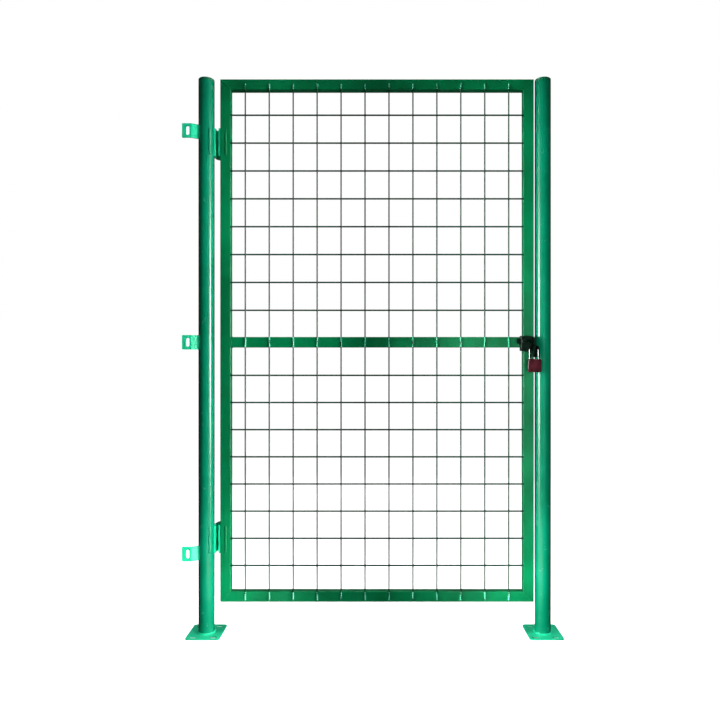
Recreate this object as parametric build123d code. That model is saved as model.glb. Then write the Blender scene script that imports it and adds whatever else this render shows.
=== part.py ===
"""Single-leaf welded-mesh panel gate between two round posts, with a flat slide bolt and a padlock.

Millimetres. +Z is up and Z = 0 is the ground. X runs from the hinge post to the latch post, and
the front of the gate faces -Y. The origin is the middle of the hinge post's base plate, on the
ground. The leaf hangs on two weld-on butt hinges whose knuckles lie behind it, so it opens
towards +Y.
"""

import os
from math import atan2, cos, degrees, hypot, radians, sin

from build123d import *

os.makedirs("parts", exist_ok=True)

# --- leaf -----------------------------------------------------------------------------------
leaf_width = 1200.0
leaf_height = 2000.0
leaf_ground_gap = 124.0
tube_face = 40.0  # width of a frame tube seen from the front
tube_depth = 30.0
tube_wall = 1.5
tube_corner_r = 2.5
mid_rail_below_middle = 6.0  # middle of the mid rail below the leaf's mid-height

# --- mesh wires -----------------------------------------------------------------------------
row_wire_d = 6.0
vertical_wire_d = 5.0
weld_sink = 0.4  # how far a welded wire sinks into what it crosses
vertical_count = 12
vertical_side_margin = 96.75  # first and last wire from the leaf's edges
vertical_top_margin = 19.0
vertical_bottom_margin = 8.0
row_count = 8  # horizontal wires in each half of the leaf
row_below_top = 137.0  # top wire below the leaf's top edge
row_above_mid = 122.1  # nearest wires above and below the mid rail's middle
row_below_mid = 127.0
row_above_bottom = 139.0  # bottom wire above the leaf's bottom edge

# --- posts ----------------------------------------------------------------------------------
post_d = 60.0
post_wall = 2.0
cap_above_leaf = 4.0  # top of the caps above the leaf's top edge
hinge_gap = 26.0  # between the hinge post and the leaf
latch_gap = 8.0  # between the leaf and the latch post
cap_height = 10.0
cap_edge_r = 3.0
cap_spigot_length = 16.0
cap_spigot_wall = 2.0
cap_clearance = 0.3

# --- base plates ----------------------------------------------------------------------------
plate_size = 130.0
plate_thickness = 5.0
plate_corner_r = 11.0
anchor_slot_length = 28.0
anchor_slot_width = 12.0
anchor_spacing_x = 76.0
anchor_spacing_y = 98.0
foot_weld_leg = 5.0

# --- lugs that take the neighbouring fence panel --------------------------------------------
lug_above_bottom = 188.0  # lowest lug's middle above the leaf's bottom edge
lug_below_top = 202.0  # highest lug's middle below the leaf's top edge
lug_height = 55.0
lug_thickness = 4.0
lug_forward = 29.0  # middle of the slotted leg in front of the post's axis
lug_bend_out = 20.0  # bend line, out from the post's side
lug_leg_length = 35.0
lug_slot_width = 13.0
lug_slot_length = 34.0
lug_slot_out = 33.0  # middle of the slot, out from the post's side
lug_corner_r = 3.0

# --- hinges ---------------------------------------------------------------------------------
hinge_from_edge = 240.0  # middle of each hinge from the leaf's top or bottom edge
hinge_height = 108.0
hinge_plate = 7.0
hinge_plate_setback = 2.0  # plate edges from the leaf's front face
knuckle_bite = 4.0  # how far each knuckle's round runs into its own plate
knuckle_behind = 2.0  # knuckle's round behind the plates' back edges
middle_knuckle = 48.0
hinge_pin_d = 10.0
hinge_running_clearance = 0.05
hinge_axial_play = 0.1
hinge_top_play = 0.5
hinge_washer = 2.0
hinge_pin_head_d = 16.0
hinge_pin_head = 3.0
hinge_plate_corner_r = 3.0

# --- slide bolt on the leaf -----------------------------------------------------------------
housing_width = 40.0
housing_height = 57.0
housing_depth = 27.0
housing_wall = 2.5
housing_edge_r = 3.0
housing_from_edge = 14.5  # housing's right side from the leaf's latch edge
housing_below_rail = 34.0  # housing's bottom below the mid rail's middle
bolt_thickness = 6.0
bolt_width = 20.0
bolt_above_rail = 3.0
bolt_behind_wall = 3.5  # between the bolt and the housing's front wall
bolt_proud = 1.0  # bolt's tip past the housing when drawn back
bolt_past_rib = 1.0  # bolt's tail past the guide rib when thrown
bolt_hole_d = 10.0
bolt_hole_from_tip = 9.0
bolt_tip_r = 3.0
bolt_slide_clearance = 0.15
guide_rib_from_left = 10.0
handle_d = 8.0
handle_stem = 14.0
handle_spigot_d = 6.0
handle_spigot_clearance = 0.05
handle_slot_clearance = 0.5
handle_end_clearance = 1.0
handle_wall_clearance = 1.5
knob_d = 14.0
knob_length = 8.0
knob_edge_r = 2.0

# --- stop and lock bracket on the latch post --------------------------------------------------
bracket_thickness = 5.0
stop_clearance = 0.5
bracket_below_rail = 58.0  # bracket's bottom below the mid rail's middle
bracket_plate_height = 40.0
bracket_top_above_bolt = 8.0
window_clearance_y = 0.8
window_clearance_z = 1.5
ear_corner_r = 5.0
ear_rim = 5.0  # ear's top front corner in front of the bolt
ear_foot = 5.0  # ear's bottom front corner behind the padlock's middle plane
lock_eye_r = 12.0
lock_hole_d = 11.0
lock_hole_above_plate = 4.7

# --- padlock ----------------------------------------------------------------------------------
lock_from_edge = 7.5  # padlock's middle from the leaf's latch edge
lock_forward = 35.0  # padlock's middle plane in front of the leaf's front face
lock_width = 51.0
lock_height = 50.0
lock_depth = 22.0
lock_corner_r = 6.0
lock_edge_r = 2.5
shackle_d = 8.0
shackle_from_side = 9.0  # middle of each leg from the body's side
shackle_rise = 54.0  # top of the shackle above the body
shackle_clearance = 0.1
shackle_rest_gap = 0.3
shackle_end_r = 1.0
heel_depth = 42.0
toe_depth = 12.0
heel_well = 2.0
shackle_lift = 13.0
heel_flat_depth = 1.6
heel_pin_d = 3.0
heel_pin_depth = 24.0
heel_pin_clearance = 0.1
notch_depth_z = 7.0
notch_sink = 2.5
notch_clearance = 0.5
pawl_height = 4.0
pawl_width = 8.0
pawl_travel = 2.5
pawl_clearance = 0.1
pawl_tip_gap = 0.4
pawl_tail = 5.5
pawl_nose_r = 1.0
peg_d = 3.0
peg_slot_clearance = 0.2
plug_d = 12.0
plug_clearance = 0.05
plug_recess = 0.5
plug_groove_depth = 1.2
plug_groove_height = 2.4
plug_groove_up = 8.0
plug_pin_d = 2.2
keyway_width = 1.6
keyway_length = 8.0
keyway_depth = 20.0

# --- places worked out from the sizes above ---------------------------------------------------
post_r = post_d / 2
leaf_left = post_r + hinge_gap
leaf_right = leaf_left + leaf_width
leaf_bottom = leaf_ground_gap
leaf_top = leaf_bottom + leaf_height
post_top = leaf_top + cap_above_leaf - cap_height
latch_post_x = leaf_right + latch_gap + post_r
front = -tube_depth / 2
back = tube_depth / 2
mid_z = (leaf_bottom + leaf_top) / 2 - mid_rail_below_middle
vertical_y = front - vertical_wire_d / 2 + weld_sink
row_y = vertical_y + (vertical_wire_d + row_wire_d) / 2 - weld_sink
knuckle_r = hinge_gap / 2 - hinge_plate + knuckle_bite
plate_back = back - hinge_plate_setback / 2
hinge_x = post_r + hinge_gap / 2
hinge_y = plate_back + knuckle_behind + knuckle_r
lug_x = -post_r
lug_low_z = leaf_bottom + lug_above_bottom
lug_high_z = leaf_top - lug_below_top
hinge_zs = {"upper": leaf_top - hinge_from_edge, "lower": leaf_bottom + hinge_from_edge}

housing_right = leaf_right - housing_from_edge
housing_left = housing_right - housing_width
housing_bottom = mid_z - housing_below_rail
housing_front = front - housing_depth
bolt_z = mid_z + bolt_above_rail
bolt_front = housing_front + housing_wall + bolt_behind_wall
bolt_back = bolt_front + bolt_thickness
bolt_travel = housing_width - 2 * (housing_wall + handle_wall_clearance) - handle_d
rib_left = housing_left + guide_rib_from_left
bolt_tip = housing_right + bolt_proud
bolt_tail = rib_left - bolt_past_rib - bolt_travel
handle_x = housing_left + housing_wall + handle_wall_clearance + handle_d / 2

lock_x = leaf_right - lock_from_edge
lock_y = front - lock_forward
bracket_back = front - stop_clearance
bracket_bottom = mid_z - bracket_below_rail
bracket_top = bolt_z + bolt_width / 2 + bracket_top_above_bolt
shackle_r = shackle_d / 2
leg_out = lock_width / 2 - shackle_from_side
# The shackle hangs on the lower edge of the hole in the bracket.
lock_hole_z = bracket_bottom + bracket_plate_height + lock_hole_above_plate
shackle_mid_z = lock_hole_z - lock_hole_d / 2 + shackle_rest_gap + shackle_r
shackle_top = shackle_mid_z + shackle_r
arch_z = shackle_mid_z - leg_out
lock_top = shackle_top - shackle_rise
lock_bottom = lock_top - lock_height
heel_x = lock_x + leg_out
toe_x = lock_x - leg_out
lock_pin_front = lock_y - lock_depth / 4
lock_pin_back = lock_y + lock_depth / 2 - lock_edge_r
notch_z = lock_top - notch_depth_z
pawl_room_bottom = notch_z - pawl_height / 2 - pawl_clearance
pawl_room_top = notch_z + pawl_height / 2 + pawl_clearance
eighth_turn = radians(45)
peg_r = pawl_travel / (2 * sin(eighth_turn))


def span_box(x, y, z):
    """A box from its lowest to its highest corner, each given as a pair for one axis."""
    size = [pair[1] - pair[0] for pair in (x, y, z)]
    middle = [(pair[0] + pair[1]) / 2 for pair in (x, y, z)]
    return Pos(*middle) * Box(*size)


def rod_z(x, y, z0, z1, r):
    """An upright round bar."""
    return Pos(x, y, (z0 + z1) / 2) * Cylinder(r, z1 - z0)


def rod_x(x0, x1, y, z, r):
    """A round bar along X."""
    return Pos((x0 + x1) / 2, y, z) * Rot(0, 90, 0) * Cylinder(r, x1 - x0)


def rod_y(x, y0, y1, z, r):
    """A round bar along Y."""
    return Pos(x, (y0 + y1) / 2, z) * Rot(90, 0, 0) * Cylinder(r, y1 - y0)


def prism_y(points, y0, y1):
    """A flat outline in X and Z, carried from y0 to y1."""
    outline = make_face(Polyline(*[(x, y0, z) for x, z in points], close=True))
    return extrude(outline, y1 - y0, dir=(0, 1, 0))


def only_solid(shape):
    """The one solid that a piece is made of."""
    solids = shape.solids()
    assert len(solids) == 1, f"{len(solids)} solids"
    return solids[0]


def write(node, *pieces):
    """Write a node's STEP file, with each of its pieces a solid of its own."""
    solids = [only_solid(piece) for piece in pieces]
    shape = solids[0] if len(solids) == 1 else Compound(children=solids)
    export_step(shape, f"parts/{node}.step")


# --- leaf frame -------------------------------------------------------------------------------
def tube_section():
    inner_r = tube_corner_r - tube_wall
    outer = RectangleRounded(tube_face, tube_depth, tube_corner_r)
    return outer - RectangleRounded(tube_face - 2 * tube_wall, tube_depth - 2 * tube_wall, inner_r)


def rail(x0, x1, z):
    """A tube along X with its wide side to the front."""
    plane = Plane(origin=(x0, 0, z), x_dir=(0, 0, 1), z_dir=(1, 0, 0))
    return extrude(plane * tube_section(), x1 - x0)


def stile(x, z0, z1):
    """An upright tube."""
    plane = Plane(origin=(x, 0, z0), x_dir=(1, 0, 0), z_dir=(0, 0, 1))
    return extrude(plane * tube_section(), z1 - z0)


def mitred(member, outer_a, outer_b, inner_b, inner_a):
    """A frame member cut to the outline of its four corners, with 45 degree ends."""
    return member & prism_y([outer_a, outer_b, inner_b, inner_a], -tube_depth, tube_depth)


def leaf_frame():
    half = tube_face / 2
    left, right, low, high = leaf_left, leaf_right, leaf_bottom, leaf_top
    in_left, in_right = left + tube_face, right - tube_face
    in_low, in_high = low + tube_face, high - tube_face
    outer = {
        "top_left": (left, high),
        "top_right": (right, high),
        "low_left": (left, low),
        "low_right": (right, low),
    }
    inner = {
        "top_left": (in_left, in_high),
        "top_right": (in_right, in_high),
        "low_left": (in_left, in_low),
        "low_right": (in_right, in_low),
    }
    members = {
        "top_rail": (rail(left, right, high - half), "top_left", "top_right"),
        "bottom_rail": (rail(left, right, low + half), "low_left", "low_right"),
        "hinge_stile": (stile(left + half, low, high), "low_left", "top_left"),
        "latch_stile": (stile(right - half, low, high), "low_right", "top_right"),
    }
    for name, (member, a, b) in members.items():
        write(name, mitred(member, outer[a], outer[b], inner[b], inner[a]))
    write("mid_rail", rail(in_left, in_right, mid_z))


def spaced(first, last, count):
    """Evenly spaced places from the first to the last."""
    return [first + (last - first) * i / (count - 1) for i in range(count)]


def mesh_wires():
    """Verticals lie across the rails' front faces. Rows run behind them from stile to stile."""
    z0, z1 = leaf_bottom + vertical_bottom_margin, leaf_top - vertical_top_margin
    xs = spaced(leaf_left + vertical_side_margin, leaf_right - vertical_side_margin, vertical_count)
    write("vertical_wires", *[rod_z(x, vertical_y, z0, z1, vertical_wire_d / 2) for x in xs])
    row_end = tube_face - weld_sink
    x0, x1 = leaf_left + row_end, leaf_right - row_end
    upper = spaced(leaf_top - row_below_top, mid_z + row_above_mid, row_count)
    lower = spaced(mid_z - row_below_mid, leaf_bottom + row_above_bottom, row_count)
    write("upper_row_wires", *[rod_x(x0, x1, row_y, z, row_wire_d / 2) for z in upper])
    write("lower_row_wires", *[rod_x(x0, x1, row_y, z, row_wire_d / 2) for z in lower])


# --- posts ------------------------------------------------------------------------------------
def base_plate(x):
    outline = RectangleRounded(plate_size, plate_size, plate_corner_r)
    slot = SlotOverall(anchor_slot_length, anchor_slot_width)
    for sx in (-1, 1):
        for sy in (-1, 1):
            outline -= Pos(sx * anchor_spacing_x / 2, sy * anchor_spacing_y / 2) * slot
    return Pos(x, 0, 0) * extrude(outline, plate_thickness)


def post_tube(x):
    outer = rod_z(x, 0, plate_thickness, post_top, post_r)
    return outer - rod_z(x, 0, plate_thickness, post_top, post_r - post_wall)


def post_cap(x):
    spigot_r = post_r - post_wall - cap_clearance
    head = rod_z(x, 0, post_top, post_top + cap_height, post_r)
    head = fillet(head.edges().group_by(Axis.Z)[-1], cap_edge_r)
    spigot = rod_z(x, 0, post_top - cap_spigot_length, post_top, spigot_r)
    return head + (spigot - rod_z(x, 0, post_top - cap_spigot_length, post_top, spigot_r - cap_spigot_wall))


def foot_weld(x):
    """A triangular fillet weld all round the foot of a post."""
    inner, low = post_r, plate_thickness
    profile = Polyline(
        (inner, 0, low), (inner + foot_weld_leg, 0, low), (inner, 0, low + foot_weld_leg), close=True
    )
    return Pos(x, 0, 0) * revolve(make_face(profile), Axis.Z)


def fence_lug(z):
    """A bent lug: a leg forward from the post's side, then a slotted leg that faces the front."""
    t = lug_thickness
    bend_x = lug_x - lug_bend_out
    z0, z1 = z - lug_height / 2, z + lug_height / 2
    y0, y1 = -lug_forward - t / 2, -lug_forward + t / 2
    slotted = span_box((bend_x - lug_leg_length, bend_x), (y0, y1), (z0, z1))
    outer_edges = slotted.edges().filter_by(Axis.Y).group_by(Axis.X)[0]
    slotted = fillet(outer_edges, lug_corner_r)
    reach = hypot(bend_x, lug_forward)
    turn = degrees(atan2(lug_forward, -bend_x))
    leg = Pos(bend_x / 2, -lug_forward / 2, z) * Rot(0, 0, turn) * Box(reach, t, lug_height)
    corner = rod_z(bend_x, -lug_forward, z0, z1, t / 2)
    slot_face = Plane.XZ * Rot(0, 0, 90) * SlotOverall(lug_slot_length, lug_slot_width)
    slot = extrude(slot_face, lug_thickness, both=True)
    slot = Pos(lug_x - lug_slot_out, -lug_forward, z) * slot
    post = rod_z(0, 0, z0 - t, z1 + t, post_r)
    return only_solid_left(slotted + corner + leg - slot - post)


def only_solid_left(shape):
    """The solid that reaches furthest towards -X: what a cut leaves outside the post."""
    return min(shape.solids(), key=lambda solid: solid.bounding_box().min.X)


def posts():
    names = {"hinge": 0.0, "latch": latch_post_x}
    for name, x in names.items():
        write(f"{name}_post", post_tube(x))
        write(f"{name}_post_cap", post_cap(x))
        write(f"{name}_post_base_plate", base_plate(x))
        write(f"{name}_post_foot_weld", foot_weld(x))
    for name, z in zip(("lower", "middle", "upper"), spaced(lug_low_z, lug_high_z, 3)):
        write(f"{name}_fence_lug", fence_lug(z))


# --- hinges -----------------------------------------------------------------------------------
def hinge_leaf(side, z, knuckles):
    """A hinge plate with its knuckles. side is -1 on the post and 1 on the leaf.

    knuckles lists each knuckle's lowest and highest point, from the hinge's middle.
    """
    flat = hinge_x + side * hinge_gap / 2
    xs = sorted((flat, flat - side * hinge_plate))
    z0, z1 = z - hinge_height / 2, z + hinge_height / 2
    plate = span_box(xs, (front + hinge_plate_setback, plate_back), (z0, z1))
    plate = fillet(plate.edges().filter_by(Axis.X).group_by(Axis.Y)[0], hinge_plate_corner_r)
    for low, high in knuckles:
        plate += span_box(xs, (plate_back, hinge_y), (z + low, z + high))
        plate += rod_z(hinge_x, hinge_y, z + low, z + high, knuckle_r)
    bore_r = hinge_pin_d / 2 + hinge_running_clearance
    return plate - rod_z(hinge_x, hinge_y, z0 - 1, z1 + 1, bore_r)


def hinge_pin(z):
    low, high = z - hinge_height / 2, z + hinge_height / 2
    shank = rod_z(hinge_x, hinge_y, low, high, hinge_pin_d / 2)
    head = rod_z(hinge_x, hinge_y, high, high + hinge_pin_head, hinge_pin_head_d / 2)
    head = fillet(head.edges().group_by(Axis.Z)[-1], hinge_pin_head / 2)
    return shank + head


def hinges():
    half, middle = hinge_height / 2, middle_knuckle / 2
    washer_top = -middle + hinge_washer
    for name, z in hinge_zs.items():
        write(f"{name}_hinge_post_leaf", hinge_leaf(-1, z, [(-half, -middle), (middle, half)]))
        leaf_knuckle = (washer_top + hinge_axial_play, middle - hinge_top_play)
        write(f"{name}_hinge_gate_leaf", hinge_leaf(1, z, [leaf_knuckle]))
        write(f"{name}_hinge_pin", hinge_pin(z))
        washer = rod_z(hinge_x, hinge_y, z - middle, z + washer_top, knuckle_r)
        bore = rod_z(hinge_x, hinge_y, z - half, z + half, hinge_pin_d / 2 + hinge_running_clearance)
        write(f"{name}_hinge_washer", washer - bore)


# --- slide bolt -------------------------------------------------------------------------------
def bolt_window(x0, x1, gap_y, gap_z):
    """The space that the bolt needs between x0 and x1."""
    half = bolt_width / 2 + gap_z
    return span_box((x0, x1), (bolt_front - gap_y, bolt_back + gap_y), (bolt_z - half, bolt_z + half))


def bolt_housing():
    """A folded box, open at the back, that stands on the latch stile and the end of the mid rail."""
    w = housing_wall
    top = housing_bottom + housing_height
    shell = span_box((housing_left, housing_right), (housing_front, front), (housing_bottom, top))
    shell = fillet(shell.edges().group_by(Axis.Y)[0], housing_edge_r)
    inside = span_box(
        (housing_left + w, housing_right - w), (housing_front + w, front), (housing_bottom + w, top - w)
    )
    rib = span_box((rib_left, rib_left + w), (bolt_front, front), (housing_bottom + w, top - w))
    shell = shell - inside + rib
    gap = bolt_slide_clearance
    shell -= bolt_window(housing_left - 1, housing_right + 1, gap, gap)
    slot_r = handle_d / 2 + handle_slot_clearance
    slot_length = bolt_travel + handle_d + 2 * handle_end_clearance
    slot = Plane.XZ * SlotOverall(slot_length, 2 * slot_r)
    slot = extrude(slot, housing_wall + 1, both=True)
    return shell - Pos(handle_x + bolt_travel / 2, housing_front, bolt_z) * slot


def slide_bolt():
    half = bolt_width / 2
    bar = span_box((bolt_tail, bolt_tip), (bolt_front, bolt_back), (bolt_z - half, bolt_z + half))
    bar = fillet(bar.edges().filter_by(Axis.Y), bolt_tip_r)
    hole_x = bolt_tip - bolt_hole_from_tip
    bar -= rod_y(hole_x, bolt_front - 1, bolt_back + 1, bolt_z, bolt_hole_d / 2)
    spigot_r = handle_spigot_d / 2 + handle_spigot_clearance
    return bar - rod_y(handle_x, bolt_front - 1, bolt_back + 1, bolt_z, spigot_r)


def bolt_handle():
    stem_end = bolt_front - handle_stem
    stem = rod_y(handle_x, stem_end, bolt_front, bolt_z, handle_d / 2)
    spigot = rod_y(handle_x, bolt_front, bolt_back, bolt_z, handle_spigot_d / 2)
    knob = rod_y(handle_x, stem_end - knob_length, stem_end, bolt_z, knob_d / 2)
    knob = fillet(knob.edges().filter_by(GeomType.CIRCLE), knob_edge_r)
    return stem + spigot + knob


# --- stop and lock bracket --------------------------------------------------------------------
def lock_bracket():
    """A plate from the latch post across the leaf's edge, bent forward into an eyed ear."""
    t = bracket_thickness
    ear_left, ear_right = lock_x - t / 2, lock_x + t / 2
    plate_top = bracket_bottom + bracket_plate_height
    eye_front = lock_y - lock_eye_r
    outline = [
        (bracket_back, bracket_bottom),
        (bracket_back, bracket_top),
        (bolt_front - ear_rim, bracket_top),
        (eye_front, lock_hole_z + lock_eye_r / 2),
        (eye_front, lock_hole_z - lock_eye_r / 2),
        (lock_y + ear_foot, bracket_bottom),
    ]
    ear = make_face(Polyline(*[(ear_left, y, z) for y, z in outline], close=True))
    ear = extrude(ear, t, dir=(1, 0, 0))
    ear = fillet(ear.edges().filter_by(Axis.X).sort_by(Axis.Y)[:-2], ear_corner_r)
    ear -= rod_x(ear_left - 1, ear_right + 1, lock_y, lock_hole_z, lock_hole_d / 2)
    ear -= bolt_window(ear_left - 1, ear_right + 1, window_clearance_y, window_clearance_z)
    plate_y = (bracket_back - t, bracket_back)
    plate = span_box((ear_left, latch_post_x), plate_y, (bracket_bottom, plate_top))
    bracket = ear + plate - rod_z(latch_post_x, 0, bracket_bottom - 1, plate_top + 1, post_r)
    return only_solid_left(bracket)


# --- padlock ----------------------------------------------------------------------------------
def shackle():
    heel_end, toe_end = lock_top - heel_depth, lock_top - toe_depth
    arch = Pos(lock_x, lock_y, arch_z) * Rot(90, 0, 0) * Torus(leg_out, shackle_r)
    y = (lock_y - shackle_d, lock_y + shackle_d)
    arch = arch & span_box((toe_x - shackle_d, heel_x + shackle_d), y, (arch_z, shackle_top))
    heel = rod_z(heel_x, lock_y, heel_end, arch_z, shackle_r)
    heel = fillet(heel.edges().group_by(Axis.Z)[0], shackle_end_r)
    toe = rod_z(toe_x, lock_y, toe_end, arch_z, shackle_r)
    toe = fillet(toe.edges().group_by(Axis.Z)[0], shackle_end_r)
    bar = arch + heel + toe
    notch_half = pawl_height / 2 + notch_clearance
    notch_x = (toe_x + shackle_r - notch_sink, toe_x + shackle_d)
    bar -= span_box(notch_x, y, (notch_z - notch_half, notch_z + notch_half))
    margin = heel_pin_d / 2 + heel_pin_clearance
    flat_x = (heel_x - shackle_r - 1, heel_x - shackle_r + heel_flat_depth)
    flat_z = (heel_pin_z() - shackle_lift - margin - 1, heel_pin_z() + margin)
    return bar - span_box(flat_x, y, flat_z)


def padlock_body():
    x = (lock_x - lock_width / 2, lock_x + lock_width / 2)
    y = (lock_y - lock_depth / 2, lock_y + lock_depth / 2)
    body = span_box(x, y, (lock_bottom, lock_top))
    body = fillet(body.edges().filter_by(Axis.Y), lock_corner_r)
    body = fillet(body.faces().filter_by(Axis.Y).edges(), lock_edge_r)
    hole_r = shackle_r + shackle_clearance
    body -= rod_z(heel_x, lock_y, lock_top - heel_depth - heel_well, lock_top + 1, hole_r)
    body -= rod_z(toe_x, lock_y, pawl_room_bottom - shackle_lift, lock_top + 1, hole_r)
    plug_hole_r = plug_d / 2 + plug_clearance
    body -= rod_z(lock_x, lock_y, lock_bottom - 1, pawl_room_bottom, plug_hole_r)
    half = pawl_width / 2 + pawl_clearance
    pawl_end = lock_x + pawl_tail + pawl_tip_gap
    body -= span_box((toe_x, pawl_end), (lock_y - half, lock_y + half), (pawl_room_bottom, pawl_room_top))
    body -= rod_y(heel_pin_x(), lock_pin_front, y[1] + 1, heel_pin_z(), heel_pin_d / 2)
    return body - rod_y(plug_pin_x(), lock_pin_front, y[1] + 1, plug_pin_z(), plug_pin_d / 2)


def heel_pin_x():
    return heel_x - shackle_r + heel_flat_depth - heel_pin_d / 2 - heel_pin_clearance


def heel_pin_z():
    return lock_top - heel_pin_depth


def plug_pin_x():
    groove_r = plug_d / 2 - plug_groove_depth
    return lock_x + groove_r + plug_pin_d / 2 + plug_clearance


def plug_pin_z():
    return lock_bottom + plug_groove_up


def peg_place():
    """The drive peg's centre with the lock undone: an eighth of a turn short of the plug's Y line."""
    return lock_x + peg_r * sin(eighth_turn), lock_y + peg_r * cos(eighth_turn)


def key_plug():
    top = pawl_room_bottom - plug_recess
    low = lock_bottom + plug_recess
    plug = rod_z(lock_x, lock_y, low, top, plug_d / 2)
    groove_z = plug_pin_z()
    groove_half = plug_groove_height / 2
    ring = rod_z(lock_x, lock_y, groove_z - groove_half, groove_z + groove_half, plug_d)
    ring -= rod_z(lock_x, lock_y, low, top, plug_d / 2 - plug_groove_depth)
    half_w, half_l = keyway_width / 2, keyway_length / 2
    keyway_x, keyway_y = (lock_x - half_w, lock_x + half_w), (lock_y - half_l, lock_y + half_l)
    keyway = span_box(keyway_x, keyway_y, (low - 1, low + keyway_depth))
    peg_x, peg_y = peg_place()
    peg = rod_z(peg_x, peg_y, top, notch_z + pawl_height / 2, peg_d / 2)
    return plug - ring - keyway + peg


def lock_pawl():
    """A flat pawl over the plug, driven by the peg through a cross slot."""
    half = pawl_width / 2
    tip = toe_x + shackle_r + shackle_clearance + pawl_tip_gap
    tail = lock_x + pawl_tail
    low, high = notch_z - pawl_height / 2, notch_z + pawl_height / 2
    pawl = span_box((tip, tail), (lock_y - half, lock_y + half), (low, high))
    nose = pawl.edges().filter_by(Axis.Z).group_by(Axis.X)[0]
    pawl = fillet(nose, pawl_nose_r)
    peg_x, peg_y = peg_place()
    swing = peg_r - (peg_y - lock_y)
    slot_width = peg_d + 2 * peg_slot_clearance
    slot_length = slot_width + swing
    slot = Rot(0, 0, 90) * SlotOverall(slot_length, slot_width)
    cut = Pos(peg_x, peg_y + swing / 2, low - 1) * extrude(slot, pawl_height + 2)
    return pawl - cut


def padlock():
    write("padlock_shackle", shackle())
    write("padlock_body", padlock_body())
    write("padlock_key_plug", key_plug())
    write("padlock_pawl", lock_pawl())
    heel_pin = rod_y(heel_pin_x(), lock_pin_front, lock_pin_back, heel_pin_z(), heel_pin_d / 2)
    plug_pin = rod_y(plug_pin_x(), lock_pin_front, lock_pin_back, plug_pin_z(), plug_pin_d / 2)
    write("padlock_heel_pin", heel_pin)
    write("padlock_plug_pin", plug_pin)


def latch():
    write("bolt_housing", bolt_housing())
    write("slide_bolt", slide_bolt())
    write("bolt_handle", bolt_handle())
    write("lock_bracket", lock_bracket())


leaf_frame()
mesh_wires()
posts()
hinges()
latch()
padlock()
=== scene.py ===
"""Looks of a welded-mesh panel gate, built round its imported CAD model.

The tubes, wires, posts and lock keep their CAD shape and get their finish here. Cut plates get
copies with broken edges. Weld beads, tacks and nuggets are surfaces worked out with numpy, in
millimetres until the last step. Everything Blender holds is in metres.
"""

import math

import bmesh
import bpy
import numpy as np
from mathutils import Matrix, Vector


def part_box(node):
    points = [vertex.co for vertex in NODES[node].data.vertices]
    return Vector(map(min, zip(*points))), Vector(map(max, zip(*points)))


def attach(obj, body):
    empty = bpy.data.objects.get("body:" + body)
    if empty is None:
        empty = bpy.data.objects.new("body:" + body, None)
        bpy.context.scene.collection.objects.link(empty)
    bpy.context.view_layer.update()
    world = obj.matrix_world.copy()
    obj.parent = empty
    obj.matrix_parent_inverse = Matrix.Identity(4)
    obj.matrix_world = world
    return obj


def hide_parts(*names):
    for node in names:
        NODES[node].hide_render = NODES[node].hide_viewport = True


MM = 0.001
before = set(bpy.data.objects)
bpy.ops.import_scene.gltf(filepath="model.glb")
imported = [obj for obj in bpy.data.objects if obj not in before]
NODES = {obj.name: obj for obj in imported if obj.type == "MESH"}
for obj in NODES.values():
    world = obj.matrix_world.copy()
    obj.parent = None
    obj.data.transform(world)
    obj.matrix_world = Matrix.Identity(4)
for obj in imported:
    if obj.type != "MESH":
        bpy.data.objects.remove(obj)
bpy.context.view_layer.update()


# --- colours and nodes ------------------------------------------------------------------------
# A Mix node set to colours: its sockets for how much, from what and to what, and its result.
AMOUNT, FROM, TO = 0, 6, 7
COLOURS = {"data_type": "RGBA", "out": 2}


def linear(hex_colour):
    """An sRGB hex colour as linear RGBA, each channel through the sRGB curve."""
    coded = np.array([int(hex_colour[i : i + 2], 16) for i in (1, 3, 5)]) / 255
    plain = np.where(coded <= 0.04045, coded / 12.92, ((coded + 0.055) / 1.055) ** 2.4)
    return (*plain.tolist(), 1.0)


def add(tree, kind, inputs=None, out=0, **settings):
    """Add a node and return one of its outputs. Each input is a value, or a socket to link."""
    made = tree.nodes.new("ShaderNode" + kind)
    for name, value in settings.items():
        setattr(made, name, value)
    for name, value in (inputs or {}).items():
        if isinstance(value, bpy.types.NodeSocket):
            tree.links.new(value, made.inputs[name])
        else:
            made.inputs[name].default_value = value
    return made.outputs[out] if made.outputs else None


def blank_material(name):
    """A node material with no nodes yet, and its tree."""
    material = bpy.data.materials.new(name)
    material.use_nodes = True
    material.node_tree.nodes.clear()
    return material, material.node_tree


def spots(tree, size, detail=2.0, low=0.4, high=0.6, stretch=(1, 1, 1)):
    """A soft 0 to 1 pattern of cloudy spots, each about size metres across."""
    place = add(tree, "TexCoord", out="Object")
    if stretch != (1, 1, 1):
        place = add(tree, "Mapping", {"Vector": place, "Scale": stretch})
    noise = add(tree, "TexNoise", {"Vector": place, "Scale": 1 / size, "Detail": detail})
    return add(tree, "MapRange", {"Value": noise, "From Min": low, "From Max": high})


def facing_up(tree):
    """How far a face looks up, 0 for walls and 1 for level tops."""
    normal = add(tree, "NewGeometry", out="Normal")
    up = add(tree, "SeparateXYZ", {"Vector": normal}, out="Z")
    return add(tree, "MapRange", {"Value": up, "From Min": 0.35, "From Max": 0.95})


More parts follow.
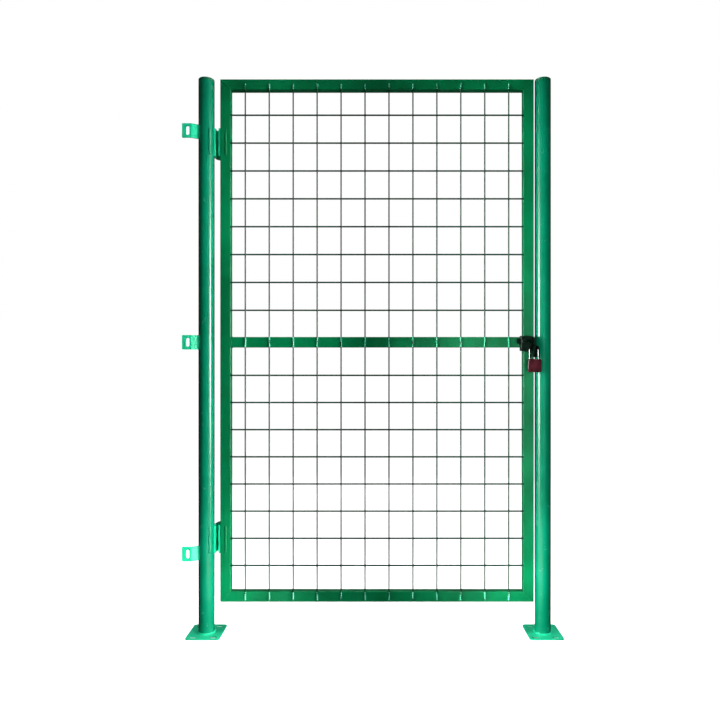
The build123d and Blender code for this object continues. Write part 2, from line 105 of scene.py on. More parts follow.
# --- finishes ---------------------------------------------------------------------------------
def powder_coat(name, deep, plain, light, rough=0.33):
    """Green polyester powder coat, semi-gloss, cured over welded steel.

    To the eye: one even colour with slow drifts where the film is thicker, paler where hands
    have rubbed it, the orange peel of cured powder, and a thin pale dust on what looks up. The
    peel is 1 to 2 mm across and is drawn at 5 mm so that it shows.
    """
    material, tree = blank_material(name)
    drift = spots(tree, 180 * MM, detail=3.0, low=0.35, high=0.65)
    handling = spots(tree, 22 * MM, detail=3.0, low=0.45, high=0.85, stretch=(1, 1, 0.5))
    specks = spots(tree, 9 * MM, low=0.3, high=0.7)
    dust = add(tree, "Math", {0: facing_up(tree), 1: specks}, operation="MULTIPLY")
    rubbed = add(tree, "MapRange", {"Value": handling, "To Max": 0.1})
    dusty = add(tree, "MapRange", {"Value": dust, "To Max": 0.06})
    colour = add(tree, "Mix", {AMOUNT: drift, FROM: linear(deep), TO: linear(plain)}, **COLOURS)
    colour = add(tree, "Mix", {AMOUNT: rubbed, FROM: colour, TO: linear(light)}, **COLOURS)
    colour = add(tree, "Mix", {AMOUNT: dusty, FROM: colour, TO: linear("#9db8a8")}, **COLOURS)
    dull = {"Value": handling, "To Min": rough - 0.03, "To Max": rough + 0.08}
    wave = spots(tree, 40 * MM, detail=1.0, low=0.2, high=0.8)
    peel = spots(tree, 5 * MM, detail=1.0, low=0.2, high=0.8)
    waved = add(tree, "Bump", {"Height": wave, "Distance": 0.12 * MM})
    look = {
        "Base Color": colour,
        "Roughness": add(tree, "MapRange", dull),
        "Normal": add(tree, "Bump", {"Height": peel, "Distance": 0.035 * MM, "Normal": waved}),
        "IOR": 1.5,
        "Metallic": 0.0,
    }
    add(tree, "OutputMaterial", {"Surface": add(tree, "BsdfPrincipled", look)})
    return material


def moulded_cap():
    """Green polyethylene cap, injection moulded: duller than the post, with a fine matt grain."""
    material, tree = blank_material("green_moulded_polyethylene")
    cloud = spots(tree, 15 * MM, low=0.3, high=0.7)
    deep, plain = linear("#045a3c"), linear("#0a6d4a")
    scuffs = spots(tree, 6 * MM)
    grain = spots(tree, 1.2 * MM, detail=0.0, low=0.2, high=0.8)
    look = {
        "Base Color": add(tree, "Mix", {AMOUNT: cloud, FROM: deep, TO: plain}, **COLOURS),
        "Roughness": add(tree, "MapRange", {"Value": scuffs, "To Min": 0.42, "To Max": 0.55}),
        "Normal": add(tree, "Bump", {"Height": grain, "Distance": 0.04 * MM}),
        "IOR": 1.51,
        "Metallic": 0.0,
    }
    add(tree, "OutputMaterial", {"Surface": add(tree, "BsdfPrincipled", look)})
    return material


def brushed_enamel():
    """Black-green enamel brushed over cold-rolled steel.

    To the eye: thin, with brush marks along the bolt and bare metal where it is rubbed.
    """
    material, tree = blank_material("black_green_brushed_enamel")
    streaks = spots(tree, 3 * MM, detail=3.0, low=0.3, high=0.7, stretch=(0.15, 1, 1))
    rubbed = spots(tree, 7 * MM, detail=5.0, low=0.66, high=0.74)
    thin = add(tree, "MapRange", {"Value": rubbed, "To Max": 0.3})
    deep, plain, bare = linear("#020c07"), linear("#071c12"), linear("#2f4238")
    colour = add(tree, "Mix", {AMOUNT: streaks, FROM: deep, TO: plain}, **COLOURS)
    look = {
        "Base Color": add(tree, "Mix", {AMOUNT: thin, FROM: colour, TO: bare}, **COLOURS),
        "Metallic": add(tree, "MapRange", {"Value": rubbed, "To Max": 0.5}),
        "Roughness": add(tree, "MapRange", {"Value": streaks, "To Min": 0.3, "To Max": 0.5}),
        "Normal": add(tree, "Bump", {"Height": streaks, "Distance": 0.08 * MM}),
        "IOR": 1.52,
    }
    add(tree, "OutputMaterial", {"Surface": add(tree, "BsdfPrincipled", look)})
    return material


def zinc_plate():
    """Bright zinc on steel: silver grey with a faint mottle and drawing lines along the pin."""
    material, tree = blank_material("bright_zinc_plated_steel")
    mottle = spots(tree, 4 * MM, detail=3.0, low=0.35, high=0.65)
    lines = spots(tree, 0.8 * MM, detail=0.0, low=0.3, high=0.7, stretch=(1, 1, 0.05))
    grey, silver = linear("#9fa3a4"), linear("#c3c6c6")
    look = {
        "Base Color": add(tree, "Mix", {AMOUNT: mottle, FROM: grey, TO: silver}, **COLOURS),
        "Roughness": add(tree, "MapRange", {"Value": mottle, "To Min": 0.25, "To Max": 0.42}),
        "Normal": add(tree, "Bump", {"Height": lines, "Distance": 0.02 * MM}),
        "Metallic": 1.0,
    }
    add(tree, "OutputMaterial", {"Surface": add(tree, "BsdfPrincipled", look)})
    return material


def turned_brass():
    """Brass turned on a lathe: warm yellow, with fine rings and a little brown tarnish."""
    material, tree = blank_material("turned_brass")
    tarnish = spots(tree, 3 * MM, detail=4.0, low=0.45, high=0.7)
    rings = spots(tree, 0.5 * MM, detail=0.0, low=0.3, high=0.7, stretch=(0.1, 0.1, 1))
    yellow, brown = linear("#c9a24e"), linear("#7f6233")
    look = {
        "Base Color": add(tree, "Mix", {AMOUNT: tarnish, FROM: yellow, TO: brown}, **COLOURS),
        "Roughness": add(tree, "MapRange", {"Value": tarnish, "To Min": 0.22, "To Max": 0.45}),
        "Normal": add(tree, "Bump", {"Height": rings, "Distance": 0.015 * MM}),
        "Metallic": 1.0,
    }
    add(tree, "OutputMaterial", {"Surface": add(tree, "BsdfPrincipled", look)})
    return material


def chrome_plate():
    """Chromium plate over hardened steel: a clean dark mirror with a few dull specks of dust."""
    material, tree = blank_material("chromium_plated_hardened_steel")
    specks = spots(tree, 2 * MM, detail=4.0, low=0.6, high=0.7)
    clean, dusty = linear("#6f7473"), linear("#3c403f")
    look = {
        "Base Color": add(tree, "Mix", {AMOUNT: specks, FROM: clean, TO: dusty}, **COLOURS),
        "Roughness": add(tree, "MapRange", {"Value": specks, "To Min": 0.07, "To Max": 0.28}),
        "Metallic": 1.0,
    }
    add(tree, "OutputMaterial", {"Surface": add(tree, "BsdfPrincipled", look)})
    return material


def baked_lock_enamel():
    """Dark red-brown enamel baked on a cast padlock body.

    To the eye: glossy over the cast's soft lumps, pooled thicker in places, with small chips.
    """
    material, tree = blank_material("red_brown_baked_enamel_on_cast_iron")
    pooled = spots(tree, 18 * MM, detail=2.0, low=0.35, high=0.65)
    chips = spots(tree, 3.5 * MM, detail=5.0, low=0.68, high=0.71)
    cast = spots(tree, 2 * MM, detail=2.0, low=0.2, high=0.8)
    deep, plain, bare = linear("#2b0810"), linear("#49141f"), linear("#8a7c76")
    colour = add(tree, "Mix", {AMOUNT: pooled, FROM: deep, TO: plain}, **COLOURS)
    worn = add(tree, "MapRange", {"Value": chips, "To Max": 0.8})
    look = {
        "Base Color": add(tree, "Mix", {AMOUNT: worn, FROM: colour, TO: bare}, **COLOURS),
        "Roughness": add(tree, "MapRange", {"Value": chips, "To Min": 0.28, "To Max": 0.55}),
        "Normal": add(tree, "Bump", {"Height": cast, "Distance": 0.06 * MM}),
        "IOR": 1.52,
        "Coat Weight": 0.6,
        "Coat Roughness": 0.12,
    }
    add(tree, "OutputMaterial", {"Surface": add(tree, "BsdfPrincipled", look)})
    return material


FRAME_COAT = powder_coat("green_powder_coat_on_frame_tube", "#006036", "#007a48", "#178f60")
POST_COAT = powder_coat(
    "green_powder_coat_on_posts", "#007250", "#02825f", "#1c9a74", rough=0.24
)
# Painted light: the welded fittings carry the posts' green coat, painted a much lighter green to
# stand for the light on the base plates' tops, the lugs, the hinge leaves and the foot beads.
FITTING_COAT_PAINTED_LIGHTER = powder_coat(
    "green_powder_coat_on_welded_fittings_painted_lighter_as_lit", "#0cbc89", "#1ccf9a", "#74e6c0"
)
# Painted shade: the wires and their crossing nuggets carry the frame's green painted much darker,
# so that they read as dark lines against the white backdrop.
WIRE_COAT_PAINTED_DARK = powder_coat("green_powder_coat_on_wire_painted_dark_as_shade", "#00291a", "#003a25", "#0a5538", rough=0.5)
# Painted highlight: the tacks' pale green stands for the light caught by each upright wire where
# it runs over a rail.
TACK_COAT_PAINTED_HIGHLIGHT = powder_coat(
    "green_powder_coat_painted_highlight_on_wires_over_rails", "#3fbf92", "#74d8b4", "#b4efd8", rough=0.2
)
CAP_PLASTIC = moulded_cap()
BOLT_ENAMEL = brushed_enamel()
PIN_ZINC = zinc_plate()
LOCK_BRASS = turned_brass()
SHACKLE_CHROME = chrome_plate()
LOCK_ENAMEL = baked_lock_enamel()


# --- surfaces ---------------------------------------------------------------------------------
BEAD_SIDES = 10
NUGGET_ROWS, NUGGET_SIDES = 7, 8

# The beads' half width, height, and the pitch of their ripples, in millimetres.
POST_FRONT_BEAD = (5.6, 3.0, 6.0)
POST_SIDE_BEAD = (3.5, 3.0, 5.0)
STILE_FACE_BEAD = (4.4, 1.8, 9.0)
STILE_BACK_BEAD = (3.0, 2.0, 5.0)
LUG_FILLET = (3.4, 3.0, 4.5)
MITRE_SEAM = (2.6, 0.7, 3.5)
RAIL_SEAM = (2.8, 1.0, 3.5)
RAIL_FILLET = (3.2, 2.6, 4.0)
RAIL_TACK = (2.9, 3.1, 9.0)
HOUSING_FILLET = (2.6, 2.4, 4.0)
BRACKET_FILLET = (3.2, 2.6, 4.0)

# The nuggets' half sizes along x, y and z, in millimetres.
CROSSING_NUGGET = (3.4, 1.5, 3.6)
ROW_END_NUGGET = (2.4, 3.9, 3.9)


def solid_of(rings, loop=False):
    """Vertices and faces of a skin over rings of points, rows by around by 3.

    Row i is joined to row i + 1 by quads. A loop joins the last row to the first. Otherwise
    each end is closed by a fan to the middle of its ring.
    """
    rows, around = rings.shape[:2]
    i = np.arange(rows if loop else rows - 1)[:, None]
    j = np.arange(around)[None, :]
    here, there = i * around, (i + 1) % rows * around
    after = (j + 1) % around
    quads = np.stack([here + j, here + after, there + after, there + j], axis=-1)
    points = rings.reshape(-1, 3)
    faces = quads.reshape(-1, 4).tolist()
    if not loop:
        points = np.vstack([points, rings[0].mean(0), rings[-1].mean(0)])
        k, first, last = np.arange(around), rows * around, rows * around + 1
        turn = (k + 1) % around
        tail = (rows - 1) * around
        faces += np.stack([np.full(around, first), turn, k], axis=1).tolist()
        faces += np.stack([np.full(around, last), tail + k, tail + turn], axis=1).tolist()
    return points, faces


def piece(name, solids, material, body):
    """One smooth mesh object made of several closed solids, riding on a body."""
    points, faces, offset = [], [], 0
    for vertices, polygons in solids:
        points.append(vertices)
        faces += [[index + offset for index in polygon] for polygon in polygons]
        offset += len(vertices)
    mesh = bpy.data.meshes.new(name)
    mesh.from_pydata(np.vstack(points).tolist(), [], faces)
    shape = bmesh.new()
    shape.from_mesh(mesh)
    bmesh.ops.recalc_face_normals(shape, faces=shape.faces)
    shape.to_mesh(mesh)
    shape.free()
    mesh.shade_smooth()
    mesh.materials.append(material)
    made = bpy.data.objects.new(name, mesh)
    bpy.context.scene.collection.objects.link(made)
    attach(made, body)
    return made


def bead(start, end, across, up, size, seed):
    """A weld bead from start to end, lying on the surface whose normal is up. In millimetres.

    Its section is a low ellipse, half_width along across and height along up. Both swell once
    per pitch, as each puddle of weld froze, by a rectified sine, and drift by two slow sines.
    The ends close as a half ellipse over one half_width.
    """
    start, end, across, up = (np.asarray(v, float) for v in (start, end, across, up))
    half_width, height, pitch = size
    length = np.linalg.norm(end - start)
    rows = int(length / pitch * 6) + 8
    s = np.linspace(0, 1, rows) * length
    swell = 0.84 + 0.22 * np.abs(np.sin(np.pi * s / pitch + seed))
    drift = 1 + 0.10 * np.sin(s / 9.0 + seed * 2.1) + 0.07 * np.sin(s / 4.3 + seed * 5.7)
    near_end = np.clip(np.minimum(s, length - s) / half_width, 0.001, 1)
    girth = swell * drift * np.sqrt(1 - (1 - near_end) ** 2)
    sway = 0.18 * half_width * np.sin(s / 7.1 + seed * 3.3)
    turn = np.arange(BEAD_SIDES) / BEAD_SIDES * 2 * np.pi
    spine = start + s[:, None] / length * (end - start) + sway[:, None] * across
    wide = girth[:, None] * np.cos(turn) * half_width
    tall = girth[:, None] * np.sin(turn) * height
    rings = spine[:, None] + wide[..., None] * across + tall[..., None] * up
    return solid_of(rings * MM)


def ring_bead(centre, radius, size, pitch, seed):
    """A weld bead that runs right round a post. All in millimetres.

    A circle carries a round section whose radius swells once per pitch and drifts slowly. The
    number of swells and drifts is whole, so the ring closes on itself.
    """
    count = round(2 * math.pi * radius / pitch)
    a = np.arange(count * 6) / (count * 6) * 2 * np.pi
    swell = 0.86 + 0.20 * np.abs(np.sin(a * count / 2))
    swell *= 1 + 0.09 * np.sin(3 * a + seed) + 0.06 * np.sin(7 * a + seed * 2.7)
    turn = np.arange(BEAD_SIDES) / BEAD_SIDES * 2 * np.pi
    reach = radius + size * swell[:, None] * np.cos(turn)
    height = size * swell[:, None] * np.sin(turn) + np.zeros_like(reach)
    rings = np.stack([reach * np.cos(a)[:, None], reach * np.sin(a)[:, None], height], axis=-1)
    return solid_of((rings + np.asarray(centre, float)) * MM, loop=True)


def nugget(centre, halves, seed):
    """A small lump of weld metal. All in millimetres.

    An ellipsoid: its waist is a half circle along its height, made lopsided by a sine, and its
    outline swells twice in one turn.
    """
    half_x, half_y, half_z = halves
    v = np.linspace(-0.97, 0.97, NUGGET_ROWS)
    waist = np.sqrt(1 - v**2) * (1 + 0.12 * np.sin(3 * v + seed))
    turn = np.arange(NUGGET_SIDES) / NUGGET_SIDES * 2 * np.pi + seed
    lump = 1 + 0.08 * np.sin(2 * turn + seed * 3)
    x = waist[:, None] * np.cos(turn) * lump * half_x
    y = waist[:, None] * np.sin(turn) * lump * half_y
    z = np.repeat(v[:, None], NUGGET_SIDES, axis=1) * half_z
    return solid_of((np.stack([x, y, z], axis=-1) + np.asarray(centre, float)) * MM)


def eased(node, radius, material, body, sharp=40.0):
    """A cut plate with its sharp edges broken to a small round, as a file and a coat leave them.

    A copy of the CAD mesh has its doubles merged and its flat faces joined, and each edge
    sharper than the limit, in degrees, gets a round of the radius, in millimetres.
    """
    source = NODES[node].data
    shape = bmesh.new()
    corners = [shape.verts.new(vertex.co) for vertex in source.vertices]
    for polygon in source.polygons:
        shape.faces.new([corners[i] for i in polygon.vertices])
    bmesh.ops.remove_doubles(shape, verts=shape.verts, dist=0.001 * MM)
    bmesh.ops.dissolve_limit(
        shape,
        angle_limit=math.radians(0.5),
        verts=shape.verts,
        edges=shape.edges,
        use_dissolve_boundaries=False,
    )
    edges = [
        edge
        for edge in shape.edges
        if len(edge.link_faces) == 2 and edge.calc_face_angle() > math.radians(sharp)
    ]
    bmesh.ops.bevel(
        shape,
        geom=edges,
        offset=radius * MM,
        segments=2,
        profile=0.5,
        affect="EDGES",
        clamp_overlap=True,
    )
    bmesh.ops.triangulate(shape, faces=[face for face in shape.faces if len(face.verts) > 4])
    bmesh.ops.recalc_face_normals(shape, faces=shape.faces)
    name = node + "_eased"
    mesh = bpy.data.meshes.new(name)
    shape.to_mesh(mesh)
    shape.free()
    mesh.shade_smooth()
    mesh.set_sharp_from_angle(angle=math.radians(35))
    mesh.materials.append(material)
    made = bpy.data.objects.new(name, mesh)
    bpy.context.scene.collection.objects.link(made)
    weighted = made.modifiers.new("flat_faces_stay_flat", "WEIGHTED_NORMAL")
    weighted.keep_sharp = True
    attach(made, body)
    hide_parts(node)
    return made


# --- places read from the CAD model, in millimetres -------------------------------------------
def box_mm(node):
    """A node's lowest and highest corners in millimetres."""
    low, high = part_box(node)
    return np.array(low) / MM, np.array(high) / MM


def wire_places(node, axis):
    """The middle of each wire of a node along one axis, from gaps between its sorted points."""
    co = np.array([v.co[axis] for v in NODES[node].data.vertices]) / MM
    co = np.unique(np.round(co, 3))
    clear_gap = 20
    groups = np.split(co, np.nonzero(np.diff(co) > clear_gap)[0] + 1)
    return [(group[0] + group[-1]) / 2 for group in groups]


hinge_stile_low, hinge_stile_high = box_mm("hinge_stile")
latch_stile_low, latch_stile_high = box_mm("latch_stile")
mid_low, mid_high = box_mm("mid_rail")
top_low, top_high = box_mm("top_rail")
bottom_low, bottom_high = box_mm("bottom_rail")
latch_post_low, latch_post_high = box_mm("latch_post")
FRONT, BACK = hinge_stile_low[1], hinge_stile_high[1]
POST_R = box_mm("hinge_post")[1][0]
HINGE_POST_X = 0.0
LATCH_POST_X = (latch_post_low[0] + latch_post_high[0]) / 2
UPRIGHTS = wire_places("vertical_wires", 0)
ROWS = wire_places("upper_row_wires", 2) + wire_places("lower_row_wires", 2)
X, Y, Z = np.eye(3)


# --- finishes on the CAD pieces ---------------------------------------------------------------
def coat(material, *nodes):
    """Give CAD nodes a finish in place of their own."""
    for node in nodes:
        mesh = NODES[node].data
        mesh.materials.clear()
        mesh.materials.append(material)


def finishes():
    """The finish of every piece that keeps its CAD shape."""
    coat(FRAME_COAT, "top_rail", "bottom_rail", "mid_rail", "hinge_stile", "latch_stile")
    coat(WIRE_COAT_PAINTED_DARK, "vertical_wires", "upper_row_wires", "lower_row_wires")
    coat(POST_COAT, "hinge_post", "latch_post")
    coat(CAP_PLASTIC, "hinge_post_cap", "latch_post_cap")
    coat(BOLT_ENAMEL, "bolt_handle")
    coat(SHACKLE_CHROME, "padlock_shackle")
    coat(LOCK_ENAMEL, "padlock_body")
    coat(LOCK_BRASS, "padlock_key_plug", "padlock_pawl")
    coat(LOCK_BRASS, "upper_hinge_washer", "lower_hinge_washer")
    coat(PIN_ZINC, "upper_hinge_pin", "lower_hinge_pin", "padlock_heel_pin", "padlock_plug_pin")


def plates():
    """Every cut plate. Those with rolled or rounded parts ease only their squarer edges."""
    rolled = 60.0
    # Painted light: the plates' coat is painted lighter than the posts' green, to stand for the
    # light falling on them.
    for end in ("hinge", "latch"):
        eased(f"{end}_post_base_plate", 0.8, FITTING_COAT_PAINTED_LIGHTER, "posts")
    for level in ("lower", "middle", "upper"):
        eased(f"{level}_fence_lug", 0.6, FITTING_COAT_PAINTED_LIGHTER, "posts")
    for level in ("lower", "upper"):
        post_leaf, gate_leaf = f"{level}_hinge_post_leaf", f"{level}_hinge_gate_leaf"
        eased(post_leaf, 0.5, FITTING_COAT_PAINTED_LIGHTER, "posts", sharp=rolled)
        eased(gate_leaf, 0.5, FITTING_COAT_PAINTED_LIGHTER, "leaf", sharp=rolled)
    eased("bolt_housing", 0.5, BOLT_ENAMEL, "leaf", sharp=rolled)
    eased("slide_bolt", 0.5, BOLT_ENAMEL, "bolt", sharp=rolled)
    eased("lock_bracket", 0.7, BOLT_ENAMEL, "posts", sharp=rolled)


# --- welds, in millimetres --------------------------------------------------------------------
def post_foot_beads():
    """A bead right round each post where it stands on its base plate."""
    for end, x in (("hinge", HINGE_POST_X), ("latch", LATCH_POST_X)):
        top = box_mm(f"{end}_post_base_plate")[1][2]
        solid = ring_bead((x, 0, top + 2.0), POST_R + 1.8, size=3.4, pitch=5.0, seed=x)
        made = piece(f"{end}_post_foot_bead", [solid], FITTING_COAT_PAINTED_LIGHTER, "posts")
        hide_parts(f"{end}_post_foot_weld")


def hinge_beads():
    """Lumpy beads at each hinge: on the post's front and side, on the stile's front and back."""
    on_posts, on_leaf = [], []
    # The front bead lies this far right of the post's middle, on its round face.
    reach = 19.0
    depth = -math.sqrt(POST_R**2 - reach**2)
    post_front = np.array([reach, depth, 0.0])
    out, slant = post_front / POST_R, np.array([-depth, reach, 0.0]) / POST_R
    post_side = np.array([POST_R - 1.5, BACK + 0.5, 0.0])
    stile_face = np.array([hinge_stile_low[0] + 21, FRONT, 0.0])
    stile_back = np.array([hinge_stile_low[0] + 1.0, BACK - 0.3, 0.0])
    for n, level in enumerate(("lower", "upper")):
        low, high = box_mm(f"{level}_hinge_post_leaf")
        foot, head = (low[2] + 2) * Z, (high[2] - 2) * Z
        for beads, line, across, up, size, seed in (
            (on_posts, post_front, slant, out, POST_FRONT_BEAD, 1),
            (on_posts, post_side, Y, -X, POST_SIDE_BEAD, 3),
            (on_leaf, stile_face, X, -Y, STILE_FACE_BEAD, 5),
            (on_leaf, stile_back, X, Y, STILE_BACK_BEAD, 7),
        ):
            beads.append(bead(line + foot, line + head, across, up, size, seed=seed + n))
    piece("hinge_beads_on_post", on_posts, POST_COAT, "posts")
    piece("hinge_beads_on_stile", on_leaf, FRAME_COAT, "leaf")


def lug_beads():
    """A fillet bead down each side of every lug's inner leg, where it meets the post."""
    solids = []
    leg_out = np.array([-0.865, -0.502, 0.0])
    leg_side = np.array([0.502, -0.865, 0.0])
    half_leg = 3.0
    for n, level in enumerate(("lower", "middle", "upper")):
        low, high = box_mm(f"{level}_fence_lug")
        for sign in (-1, 1):
            line = POST_R * leg_out + half_leg * sign * leg_side
            ends = line + (low[2] + 2) * Z, line + (high[2] - 2) * Z
            solids.append(bead(*ends, leg_side, leg_out, LUG_FILLET, seed=n + 2 * sign))
    piece("fence_lug_beads", solids, FITTING_COAT_PAINTED_LIGHTER, "posts")


def frame_seams():
    """Dressed seams on the mitres, and the seams and fillets at the mid rail's ends.

    A mitre's seam starts 4 mm in from the frame's corner and stops 1 mm short of the opening.
    """
    solids = []
    faces = ((FRONT, -Y), (BACK, Y))
    corners = (
        (hinge_stile_low[0], top_high[2], 1, -1),
        (latch_stile_high[0], top_high[2], -1, -1),
        (hinge_stile_low[0], bottom_low[2], 1, 1),
        (latch_stile_high[0], bottom_low[2], -1, 1),
    )
    mitre = (hinge_stile_high[0] - hinge_stile_low[0]) * math.sqrt(2)
    for n, (x, z, sx, sz) in enumerate(corners):
        along = np.array([sx, 0, sz]) / math.sqrt(2)
        across = np.array([sz, 0, -sx]) / math.sqrt(2)
        outer = np.array([x, 0, z]) + 4 * along
        inner = np.array([x, 0, z]) + (mitre - 1) * along
        for y, up in faces:
            solids.append(bead(outer + y * Y, inner + y * Y, across, up, MITRE_SEAM, seed=n))
    for n, x in enumerate((mid_low[0], mid_high[0])):
        for y, up in faces:
            ends = (x, y, mid_low[2] + 1.5), (x, y, mid_high[2] - 1.5)
            solids.append(bead(*ends, X, up, RAIL_SEAM, seed=4 + n))
        for z, up in ((mid_low[2], -Z), (mid_high[2], Z)):
            ends = (x, FRONT + 3, z), (x, BACK - 3, z)
            solids.append(bead(*ends, X, up, RAIL_FILLET, seed=6 + n))
    piece("frame_weld_seams", solids, FRAME_COAT, "leaf")


def mesh_welds():
    """A nugget where two wires cross and at each row's ends, and a tack on every rail.

    A tack runs the whole way over its rail on the upright wire; its pale green is a painted
    highlight on the wire where it crosses the rail.
    """
    row_low, row_high = box_mm("upper_row_wires")
    upright_low, upright_high = box_mm("vertical_wires")
    row_y = (row_low[1] + row_high[1]) / 2
    upright_y = (upright_low[1] + upright_high[1]) / 2
    joint_y = (row_y + upright_y) / 2
    nuggets = [
        nugget((x, joint_y, z), CROSSING_NUGGET, seed=0.7 * i + 1.3 * k)
        for i, x in enumerate(UPRIGHTS)
        for k, z in enumerate(ROWS)
    ]
    nuggets += [
        nugget((x, row_y, z), ROW_END_NUGGET, seed=0.9 * k + x)
        for k, z in enumerate(ROWS)
        for x in (row_low[0], row_high[0])
    ]
    piece("mesh_weld_nuggets", nuggets, WIRE_COAT_PAINTED_DARK, "leaf")
    rails = (
        (top_low[2], upright_high[2]),
        (mid_low[2], mid_high[2]),
        (upright_low[2], bottom_high[2]),
    )
    past = 1
    tacks = [
        bead((x, upright_y, z0 - past), (x, upright_y, z1 + past), X, -Y, RAIL_TACK, 1.1 * i + z0)
        for i, x in enumerate(UPRIGHTS)
        for z0, z1 in rails
    ]
    piece("wire_tacks_on_rails_painted_highlight", tacks, TACK_COAT_PAINTED_HIGHLIGHT, "leaf")


def bolt_housing_beads():
    """Fillets above, below and behind the bolt's housing, on the stile and the mid rail."""
    low, high = box_mm("bolt_housing")
    inner, outer = latch_stile_low[0] + 2, high[0] - 3
    solids = [
        bead((inner, FRONT, z), (outer, FRONT, z), -Y, up, HOUSING_FILLET, seed=n)
        for n, (z, up) in enumerate(((low[2], -Z), (high[2], Z)))
    ]
    ends = (low[0], FRONT, mid_low[2] + 4), (low[0], FRONT, mid_high[2] - 4)
    solids.append(bead(*ends, -Y, -X, HOUSING_FILLET, seed=2))
    piece("bolt_housing_beads", solids, BOLT_ENAMEL, "leaf")


def lock_bracket_beads():
    """A fillet on both faces of the lock bracket, where it meets the latch post."""
    foot = box_mm("lock_bracket")[0][2]
    plate_back = FRONT - 0.5
    plate_front = plate_back - 5.0
    solids = []
    for n, (y, up) in enumerate(((plate_front, -Y), (plate_back, Y))):
        x = LATCH_POST_X - math.sqrt(POST_R**2 - y**2) - 0.5
        ends = (x, y, foot + 2), (x, y, foot + 38)
        solids.append(bead(*ends, X, up, BRACKET_FILLET, seed=n))
    piece("lock_bracket_beads", solids, BOLT_ENAMEL, "posts")


finishes()
plates()
post_foot_beads()
hinge_beads()
lug_beads()
frame_seams()
mesh_welds()
bolt_housing_beads()
lock_bracket_beads()


# --- stage, light and camera, in metres -------------------------------------------------------
LEAF_MIDDLE = (hinge_stile_low[0] + latch_stile_high[0]) / 2 * MM


def pale_floor():
    """A wide level floor of pale matt vinyl, lit from below as a light table: it reads white."""
    material, tree = blank_material("pale_matt_floor")
    cloud = spots(tree, 0.6, detail=2.0, low=0.3, high=0.7)
    grey, pale = linear("#f0f0f0"), linear("#f8f8f8")
    look = {
        "Base Color": add(tree, "Mix", {AMOUNT: cloud, FROM: grey, TO: pale}, **COLOURS),
        "Roughness": 0.8,
        "Emission Color": linear("#ffffff"),
        "Emission Strength": 0.99,
    }
    add(tree, "OutputMaterial", {"Surface": add(tree, "BsdfPrincipled", look)})
    reach = 40.0
    corners = [(-reach, -reach, 0), (reach, -reach, 0), (reach, reach, 0), (-reach, reach, 0)]
    mesh = bpy.data.meshes.new("floor")
    mesh.from_pydata(corners, [], [(0, 1, 2, 3)])
    mesh.materials.append(material)
    floor = bpy.data.objects.new("floor", mesh)
    floor.location.z = -0.5 * MM
    floor.visible_diffuse = False
    floor.visible_glossy = False
    bpy.context.scene.collection.objects.link(floor)


def white_room():
    """White to look at, and dim to be lit by: brightest overhead, with a little from below."""
    world = bpy.data.worlds.new("white_studio")
    bpy.context.scene.world = world
    world.use_nodes = True
    tree = world.node_tree
    tree.nodes.clear()
    way = add(tree, "TexCoord", out="Generated")
    up = add(tree, "SeparateXYZ", {"Vector": way}, out="Z")
    above = add(tree, "MapRange", {"Value": up, "From Min": 0.1, "To Max": 0.05})
    below = add(tree, "MapRange", {"Value": up, "From Max": -1.0, "To Max": 0.03})
    both = add(tree, "Math", {0: above, 1: below}, operation="ADD")
    power = add(tree, "Math", {0: both, 1: 0.008}, operation="ADD")
    seen = add(tree, "Background", {"Color": (1, 1, 1, 1), "Strength": 1.0})
    fill = add(tree, "Background", {"Color": (0.95, 0.98, 1, 1), "Strength": power})
    straight = add(tree, "LightPath", out="Is Camera Ray")
    room = add(tree, "MixShader", {0: straight, 1: fill, 2: seen})
    add(tree, "OutputWorld", {"Surface": room})


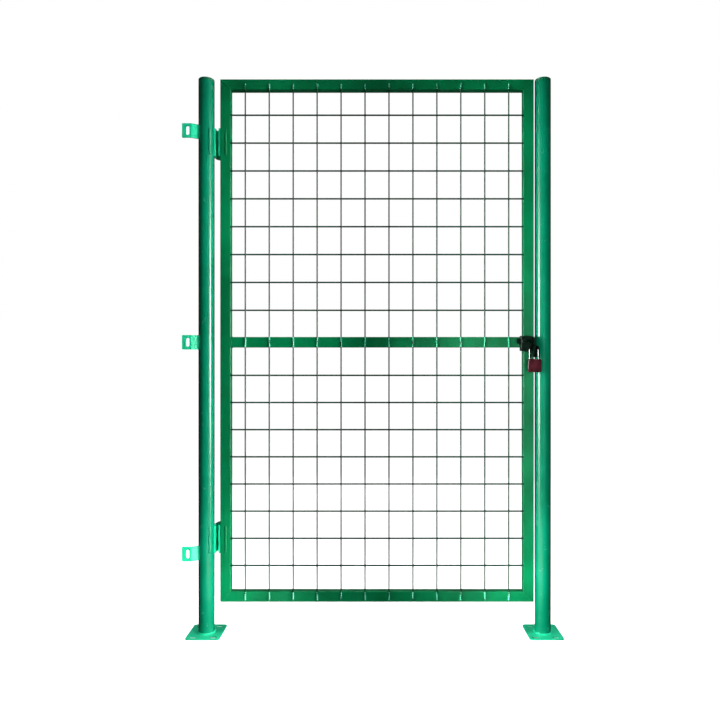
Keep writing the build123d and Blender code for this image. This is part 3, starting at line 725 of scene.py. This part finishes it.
def soft_light(name, place, aim, width, height, power, spread=180.0, shine=True):
    """A soft rectangular studio light at a place, aimed at a point, hidden from the camera.

    It is width by height metres and gives power watts, within spread degrees. One with no shine
    is behind a polarising sheet: it lights, but leaves no gloss.
    """
    data = bpy.data.lights.new(name, "AREA")
    data.shape = "RECTANGLE"
    data.size, data.size_y = width, height
    data.energy = power
    data.spread = math.radians(spread)
    lamp = bpy.data.objects.new(name, data)
    lamp.location = place
    way = np.array(aim, float) - np.array(place, float)
    pan = math.atan2(way[1], way[0]) - math.pi / 2
    tilt = math.atan2(way[2], math.hypot(way[0], way[1]))
    lamp.rotation_euler = (math.pi / 2 + tilt, 0, pan)
    lamp.visible_camera = False
    lamp.visible_glossy = shine
    bpy.context.scene.collection.objects.link(lamp)


def lights():
    """A key from the right, one overhead, one behind, and three for each post.

    A post's gleam and wash stand in front of the leaf, towards the other post. They draw one
    narrow bright line down the post's inner side and leave its outer side dark. The small
    light near the ground reaches the post's foot and its base plate.
    """
    middle = LEAF_MIDDLE
    key, above, behind = (middle + 0.75, -1.5, 0.8), (middle, -0.2, 3.4), (middle, 3.0, 1.6)
    soft_light("key", key, (middle + 0.1, 0, 0.9), 0.6, 1.3, power=15.5, shine=False)
    soft_light("overhead", above, (middle, 0, 0), 2.4, 0.8, power=9, spread=40, shine=False)
    soft_light("back_fill", behind, (middle, 0, 1.0), 2.0, 2.0, power=34, shine=False)
    left, right = HINGE_POST_X * MM, LATCH_POST_X * MM
    for post, near, far, inward in (("hinge", left, right, 1), ("latch", right, left, -1)):
        gleam, wash = (far - 0.2 * inward, -0.40, 1.1), (far - 0.5 * inward, -0.55, 1.0)
        low = (near + 0.4 * inward, -0.55, 0.12)
        names = f"gleam_on_{post}_post", f"wash_on_{post}_post", f"foot_of_{post}_post"
        soft_light(names[0], gleam, (near, 0, 1.05), 0.26, 2.3, power=2.7, spread=26)
        soft_light(names[1], wash, (near, 0, 0.95), 0.4, 2.0, power=2.0, spread=50, shine=False)
        soft_light(names[2], low, (near, 0, 0.22), 0.3, 0.2, power=0.8, spread=60, shine=False)


def camera():
    """Level, square to the leaf, at the height that shows the base plates' tops a little."""
    distance, height = 2.3, 1.0306
    data = bpy.data.cameras.new("camera")
    data.sensor_width = 36.0
    data.lens = 30.07
    data.shift_x = -0.0236111
    data.shift_y = 0.0069444
    data.clip_end = 200
    made = bpy.data.objects.new("camera", data)
    made.location = (LEAF_MIDDLE, FRONT * MM - distance, height)
    made.rotation_euler = (math.pi / 2, 0, 0)
    bpy.context.scene.collection.objects.link(made)
    bpy.context.scene.camera = made


pale_floor()
white_room()
lights()
camera()
bpy.context.scene.view_settings.view_transform = "Standard"
